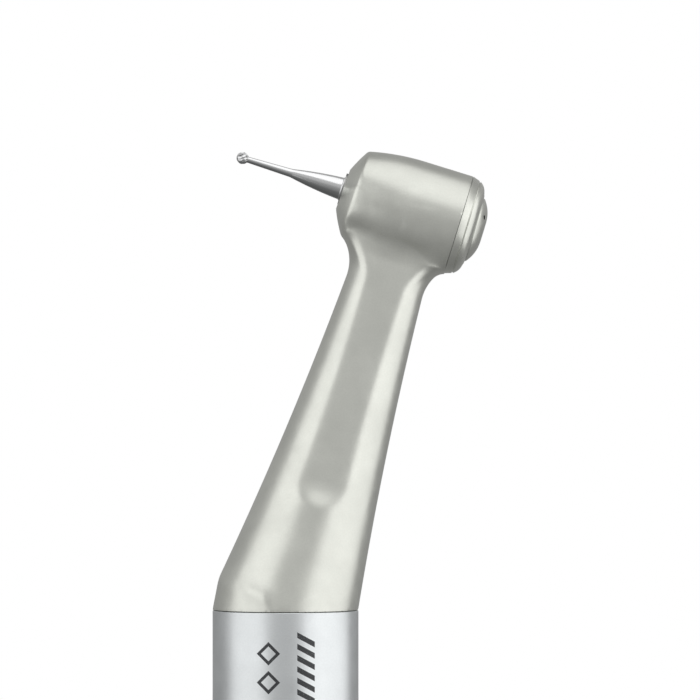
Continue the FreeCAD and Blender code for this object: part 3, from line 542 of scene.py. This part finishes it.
def make_sleeve():
    """Grip sleeve: grip grooves near the rear, a waist, and a straight front."""
    r = SLEEVE_RADIUS
    corners = [(7.4, 4.42, 0.1), (r, 4.42, 0.12)]
    for i in range(GROOVE_COUNT):
        low = GROOVE_FIRST + i * GROOVE_STEP
        high, floor = low + GROOVE_WIDTH, r - GROOVE_DEPTH
        for across, along in ((r, low), (floor, low + 0.06), (floor, high - 0.06), (r, high)):
            corners.append((across, along, 0.08))
    corners += [
        (r, 20.0, 0), ((r + 7.15) / 2, 30.0, 0, 49.29), (7.15, 40.0, 0, -49.29),
        (7.15, SLEEVE_TOP - 0.02, 0.12), (5.97, SLEEVE_TOP - 0.02, 0.08), (5.97, 46.95, 0.05),
        (6.8, 46.95, 0.1), (6.8, 26.2, 0.1), (7.4, 26.2, 0.1)]
    return turned("sleeve", outline(*corners), IN_HANDLE, "handle", "sleeve_metal",
                  "grip_sleeve", segments=192)


def make_rings():
    rear = outline((7.36, 0, 0.1), (9.0, 0, 0.3), (9.3, 0.35, 0.2), (9.3, 1.3, 0.06),
                   (9.18, 1.36, 0.05), (9.18, 1.64, 0.05), (9.3, 1.7, 0.06), (9.3, 2.97, 0.15),
                   (7.36, 2.97, 0.05))
    turned("rear_collar", rear, IN_HANDLE, "handle", "sleeve_metal", "rear_ring", segments=192)
    blue = outline((7.36, 3.02, 0.05), (9.16, 3.02, 0.08), (9.2, 3.35, 0.3), (9.2, 4.05, 0.3),
                   (9.16, 4.38, 0.08), (7.36, 4.38, 0.05))
    turned("colour_band", blue, IN_HANDLE, "handle", "blue_ring", "colour_ring", segments=192)


def make_springs():
    points, faces = coil(radius=2.72, wire=0.12, low=5.38, high=6.57, turns=2.25)
    button = new_piece("button_coil", points, faces, IN_HEAD, "handle",
                       "button_spring")
    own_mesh(button)
    points, faces = coil(radius=2.2, wire=0.2, low=28.82, high=30.78, turns=2.5)
    dog = new_piece("dog_coil", points, faces, IN_HANDLE, "main_shaft",
                    "dog_spring")
    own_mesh(dog)


# ---------------------------------------------------------------- materials
class Shader:
    """A node tree that is built by short calls."""

    def __init__(self, name):
        self.material = bpy.data.materials.new(name)
        self.material.use_nodes = True
        self.tree = self.material.node_tree
        self.surface = self.tree.nodes["Principled BSDF"]
        self.coords = self.add("ShaderNodeTexCoord").outputs["Object"]

    def add(self, kind, inputs=None, **settings):
        node = self.tree.nodes.new(kind)
        for key, value in settings.items():
            setattr(node, key, value)
        for key, value in (inputs or {}).items():
            if isinstance(value, bpy.types.NodeSocket):
                self.tree.links.new(value, node.inputs[key])
            else:
                node.inputs[key].default_value = value
        return node

    def math(self, operation, *values):
        node = self.add("ShaderNodeMath", dict(enumerate(values)), operation=operation)
        return node.outputs[0]

    def noise(self, scale, detail=3.0, vector=None, roughness=0.55):
        node = self.add("ShaderNodeTexNoise", {
            "Vector": vector or self.coords, "Scale": scale, "Detail": detail,
            "Roughness": roughness})
        return node.outputs["Fac"]

    def remap(self, value, low, high, to_low, to_high):
        node = self.add("ShaderNodeMapRange", {
            "Value": value, "From Min": low, "From Max": high, "To Min": to_low, "To Max": to_high})
        return node.outputs[0]

    def mix(self, factor, first, second):
        node = self.add("ShaderNodeMix", data_type="RGBA")
        for key, value in ((0, factor), (6, first), (7, second)):
            if isinstance(value, bpy.types.NodeSocket):
                self.tree.links.new(value, node.inputs[key])
            else:
                node.inputs[key].default_value = value
        return node.outputs[2]

    def set(self, **inputs):
        for key, value in inputs.items():
            socket = self.surface.inputs[key.replace("_", " ")]
            if isinstance(value, bpy.types.NodeSocket):
                self.tree.links.new(value, socket)
            else:
                socket.default_value = value

    def bump(self, height, distance, strength=1.0, after=None):
        inputs = {"Height": height, "Distance": distance, "Strength": strength}
        if after:
            inputs["Normal"] = after
        return self.add("ShaderNodeBump", inputs).outputs["Normal"]


def tone(colour, factor):
    return tuple(min(c * factor, 1.0) for c in colour[:3]) + (1.0,)


def satin_metal(name, colour, roughness, grain=6000, grain_height=0.004, clouds=260, wear=0.5,
                tilt=None, turning=0.0, soil=0.06):
    """Bead-blasted or turned metal: mottled tone, fine grain, handling marks, brighter edges."""
    s = Shader(name)
    broad = s.noise(clouds, 2.0)
    fine = s.noise(grain, 2.0)
    smear = s.noise(clouds * 3.1, 4.0, roughness=0.7)
    cloud = s.remap(broad, 0.3, 0.7, 0.0, 1.0)
    base = s.mix(cloud, tone(colour, 1 - soil), tone(colour, 1 + soil / 2))
    base = s.mix(s.remap(fine, 0.35, 0.65, 0.0, 0.14), base, tone(colour, 0.72))
    edge = s.remap(s.add("ShaderNodeNewGeometry").outputs["Pointiness"], 0.515, 0.57, 0.0, wear)
    base = s.mix(edge, base, tone(colour, 1.16))
    rough = s.remap(smear, 0.3, 0.75, roughness - 0.045, roughness + 0.055)
    rough = s.math("SUBTRACT", rough, s.math("MULTIPLY", edge, 0.1))
    normal = s.bump(fine, grain_height * MM)
    if tilt is not None:
        rings = s.add("ShaderNodeMapping", {"Vector": s.coords, "Rotation": (0, -tilt, 0),
                                            "Scale": (0.02, 0.02, 1.0)}).outputs[0]
        normal = s.bump(s.noise(grain * 1.6, 2.0, rings), turning * MM, after=normal)
    s.set(Base_Color=base, Metallic=1.0, Roughness=rough, Normal=normal)
    return s


STEEL = (0.73, 0.74, 0.685, 1)
ALUMINIUM = (0.745, 0.77, 0.778, 1)
NEUTRAL = (0.66, 0.66, 0.655, 1)
CHROME = (0.78, 0.79, 0.8, 1)


def printed_marks(s):
    """A mask of plain printed signs on the front: diamonds, dashes and a slanted stripe pattern."""
    split = s.add("ShaderNodeSeparateXYZ", {"Vector": s.coords})
    x, y, z = (s.math("DIVIDE", split.outputs[i], MM) for i in range(3))

    def band(value, low, high):
        middle, half = (low + high) / 2, (high - low) / 2
        return s.math("LESS_THAN", s.math("ABSOLUTE", s.math("SUBTRACT", value, middle)), half)

    def bar(left, right, low, high):
        return s.math("MULTIPLY", band(x, left, right), band(z, low, high))

    def diamond(across, along, inner, outer):
        aside = s.math("ABSOLUTE", s.math("SUBTRACT", x, across))
        above = s.math("ABSOLUTE", s.math("SUBTRACT", z, along))
        return band(s.math("ADD", aside, above), inner, outer)

    slant = s.math("ADD", z, s.math("MULTIPLY", x, 0.55))
    stripes = s.math("LESS_THAN", s.math("FRACT", s.math("DIVIDE", slant, 1.1)), 0.5)
    marks = [diamond(-1.6, along, 0.72, 1.14) for along in (44.0, 41.2)]
    marks += [bar(-2.6, -0.6, along, along + 0.3) for along in (38.9, 38.2, 37.5)]
    column = s.math("MULTIPLY", band(x, 1.2, 2.9), band(slant, 34.1, 46.75))
    marks.append(s.math("MULTIPLY", stripes, column))
    total = marks[0]
    for mark in marks[1:]:
        total = s.math("MAXIMUM", total, mark)
    return s.math("MULTIPLY", total, s.math("LESS_THAN", y, 0.0))


def sleeve_material():
    s = satin_metal("satin_aluminium", ALUMINIUM, 0.36, tilt=0.0, turning=0.0015, clouds=180,
                    wear=0.35)
    mask = printed_marks(s)
    ink = (0.03, 0.032, 0.035, 1)
    base = s.surface.inputs["Base Color"].links[0].from_socket
    worn = s.remap(s.noise(5200, 3.0), 0.3, 0.42, 0.9, 1.0)
    cover = s.math("MULTIPLY", mask, worn)
    s.set(Base_Color=s.mix(cover, base, ink), Metallic=s.math("SUBTRACT", 1.0, cover))
    return s.material


def blue_material():
    s = satin_metal("anodised_blue", (0.03, 0.13, 0.55, 1), 0.3, tilt=0.0, turning=0.001, wear=0.6)
    return s.material


def bur_material():
    """Mirror-ground steel, with a painted highlight where it faces up and painted shade below, as a
    shank reflecting a dark room.
    """
    s = satin_metal("ground_bur_steel", CHROME, 0.16, grain=9000, grain_height=0.002,
                    tilt=TILT + math.pi / 2, turning=0.002, wear=0.4)
    normal = s.add("ShaderNodeNewGeometry").outputs["Normal"]
    up = s.add("ShaderNodeSeparateXYZ", {"Vector": normal}).outputs["Z"]
    base = s.surface.inputs["Base Color"].links[0].from_socket
    # painted shade on the downward-facing side and a painted highlight on the upward-facing side,
    # blended by the world normal's Z
    below = s.mix(0.62, base, (0.05, 0.055, 0.05, 1))
    above = s.mix(0.6, base, (1, 1, 1, 1))
    s.set(Base_Color=s.mix(s.remap(up, -0.45, 0.5, 0.0, 1.0), below, above))
    return s.material


def paint(piece, material):
    """Gives a piece its own material; any further slot keeps what it has."""
    if piece.data.materials:
        piece.data.materials[0] = material
    else:
        piece.data.materials.append(material)


INNER_CLOUDS = 420
FINISH = {  # node or slot: colour, roughness, grain height in mm, turning height in mm
    "spindle": ((0.36, 0.36, 0.35, 1), 0.3, 0.002, 0.003),
    "inner_steel": (NEUTRAL, 0.34, 0.003, 0.003),
    "shaft_steel": (NEUTRAL, 0.26, 0.002, 0.003),
    "gear_steel": ((0.5, 0.49, 0.47, 1), 0.33, 0.004, 0.001),
    "spring_steel": ((0.52, 0.5, 0.47, 1), 0.28, 0.003, 0.0),
    "bearing_steel": (CHROME, 0.14, 0.001, 0.001),
    "bur_steel": (CHROME, 0.2, 0.002, 0.002),
}


def axis_tilt(node):
    """The tilt of the axis a node was turned about: handle, neck or head."""
    low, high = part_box(node)
    middle = (low + high) / 2
    if (middle - HEAD_CENTRE).length < 8 * MM and "pinion" not in node:
        return TILT + math.pi / 2
    if middle.z > BEND.z and not node.startswith(("main", "bearing_holder")):
        return TILT
    return 0.0


def paint_all():
    """Gives each piece its own finish; CAD pieces with the same finish and axis share one."""
    in_head = dict(tilt=TILT + math.pi / 2, turning=0.001)
    own = {
        "housing": satin_metal("satin_steel", STEEL, 0.34, wear=0.0).material,
        "cap": satin_metal("satin_steel_cap", STEEL, 0.31, **in_head).material,
        "button": satin_metal("satin_steel_button", tone(STEEL, 0.97), 0.31, **in_head).material,
        "round_bur": bur_material(),
        "sleeve": sleeve_material(),
        "rear_collar": satin_metal("satin_ring", ALUMINIUM, 0.33, tilt=0.0,
                                   turning=0.0015).material,
        "colour_band": blue_material(),
    }
    shared = {}
    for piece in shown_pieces():
        if piece.name in own:
            paint(piece, own[piece.name])
            continue
        node = piece["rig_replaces"][0] if "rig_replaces" in piece else piece["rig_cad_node"]
        finish, tilt = node if node in FINISH else SLOTS[node], axis_tilt(node)
        key = "%s_%d" % (finish, round(math.degrees(tilt)))
        if key not in shared:
            colour, roughness, grain_height, turning = FINISH[finish]
            shared[key] = satin_metal(key, colour, roughness, grain_height=grain_height, tilt=tilt,
                                      turning=turning, clouds=INNER_CLOUDS).material
        paint(piece, shared[key])


# ---------------------------------------------------------------- studio
FLOOR_RADIUS, FLOOR_SIDES = 400, 96


def make_floor():
    """A pale floor disc whose rim fades out into the white surroundings."""
    angles = np.linspace(0, 2 * math.pi, FLOOR_SIDES + 1)[:-1]
    rim = [(FLOOR_RADIUS * math.cos(a), FLOOR_RADIUS * math.sin(a), 0) for a in angles]
    points = [(0, 0, 0)] + rim
    faces = [[0, 1 + i, 1 + (i + 1) % FLOOR_SIDES] for i in range(FLOOR_SIDES)]
    mesh = bpy.data.meshes.new("floor")
    mesh.from_pydata([tuple(c * MM for c in p) for p in points], [], faces)
    floor = bpy.data.objects.new("floor", mesh)
    bpy.context.scene.collection.objects.link(floor)
    s = Shader("pale_floor")
    distance = s.add("ShaderNodeVectorMath", {0: s.coords}, operation="LENGTH").outputs["Value"]
    s.set(Base_Color=s.mix(s.noise(40), (0.86, 0.86, 0.86, 1), (0.9, 0.9, 0.9, 1)), Roughness=0.8,
          Alpha=s.remap(distance, 0.12, 0.36, 1.0, 0.0))
    mesh.materials.append(s.material)
    floor.visible_glossy = False


def area_light(name, azimuth, elevation, distance, width, height, radiance):
    """A soft box aimed at the head; azimuth 0 is on the camera's side, 90 towards +X."""
    a, e = math.radians(azimuth), math.radians(elevation)
    back = Vector((math.sin(a) * math.cos(e), -math.cos(a) * math.cos(e), math.sin(e)))
    light = bpy.data.lights.new(name, "AREA")
    light.shape = "RECTANGLE"
    light.size, light.size_y = width, height
    light.energy = radiance * math.pi * width * height
    lamp = bpy.data.objects.new(name, light)
    bpy.context.scene.collection.objects.link(lamp)
    lamp.location = TARGET + back * distance
    lamp.rotation_euler = back.to_track_quat("Z", "Y").to_euler()


TARGET = Vector((0.004, 0, 0.065))


def make_light():
    area_light("left_box", -62, 8, 0.8, 1.05, 1.2, 0.6)
    area_light("right_box", 72, -4, 0.8, 1.5, 1.2, 0.78)
    area_light("top_box", 36, 68, 0.75, 0.8, 1.05, 0.63)
    world = bpy.data.worlds.new("studio")
    bpy.context.scene.world = world
    world.use_nodes = True
    tree = world.node_tree
    tree.nodes.clear()
    coords = tree.nodes.new("ShaderNodeTexCoord")
    split = tree.nodes.new("ShaderNodeSeparateXYZ")
    ramp = tree.nodes.new("ShaderNodeValToRGB")
    shift = tree.nodes.new("ShaderNodeMapRange")
    shift.inputs["From Min"].default_value = -1
    tree.links.new(coords.outputs["Generated"], split.inputs[0])
    tree.links.new(split.outputs["Z"], shift.inputs["Value"])
    tree.links.new(shift.outputs[0], ramp.inputs[0])
    stops = [(0.0, 0.27), (0.1, 0.33), (0.25, 0.42), (0.49, 0.47), (0.6, 0.62), (1.0, 0.5)]
    for at, level in stops[1:-1]:
        ramp.color_ramp.elements.new(at)
    for element, (at, level) in zip(ramp.color_ramp.elements, stops):
        element.position = at
        element.color = (level, level, level, 1)
    path = tree.nodes.new("ShaderNodeLightPath")
    mix = tree.nodes.new("ShaderNodeMix")
    mix.data_type = "RGBA"
    mix.inputs[7].default_value = (1, 1, 1, 1)
    tree.links.new(path.outputs["Is Camera Ray"], mix.inputs[0])
    behind = tree.nodes.new("ShaderNodeMapRange")
    for key, value in (("From Min", -0.2), ("From Max", 0.5), ("To Min", 1.0), ("To Max", 0.68)):
        behind.inputs[key].default_value = value
    tree.links.new(split.outputs["Y"], behind.inputs["Value"])
    dim = tree.nodes.new("ShaderNodeVectorMath")
    dim.operation = "SCALE"
    tree.links.new(ramp.outputs[0], dim.inputs[0])
    tree.links.new(behind.outputs[0], dim.inputs["Scale"])
    tree.links.new(dim.outputs[0], mix.inputs[6])
    background = tree.nodes.new("ShaderNodeBackground")
    output = tree.nodes.new("ShaderNodeOutputWorld")
    tree.links.new(mix.outputs[2], background.inputs[0])
    tree.links.new(background.outputs[0], output.inputs[0])


def make_camera():
    """Level with the neck, square to its flats, framing the head, the neck and the sleeve's top."""
    frame_width, distance = 0.06863, 0.7
    aim_x, aim_z = 0.00632, 0.07349
    lens = bpy.data.cameras.new("camera")
    lens.sensor_width = 36
    lens.lens = 36 * distance / frame_width
    camera = bpy.data.objects.new("camera", lens)
    bpy.context.scene.collection.objects.link(camera)
    camera.location = (aim_x, -distance, aim_z)
    camera.rotation_euler = (math.pi / 2, 0, 0)
    lens.clip_start, lens.clip_end = 0.05, 20
    bpy.context.scene.camera = camera


bpy.context.scene.view_settings.view_transform = "Standard"
make_housing()
make_head_cap()
make_button()
make_bur()
make_sleeve()
make_rings()
make_springs()
paint_all()
make_floor()
make_light()
make_camera()

bpy.context.view_layer.update()
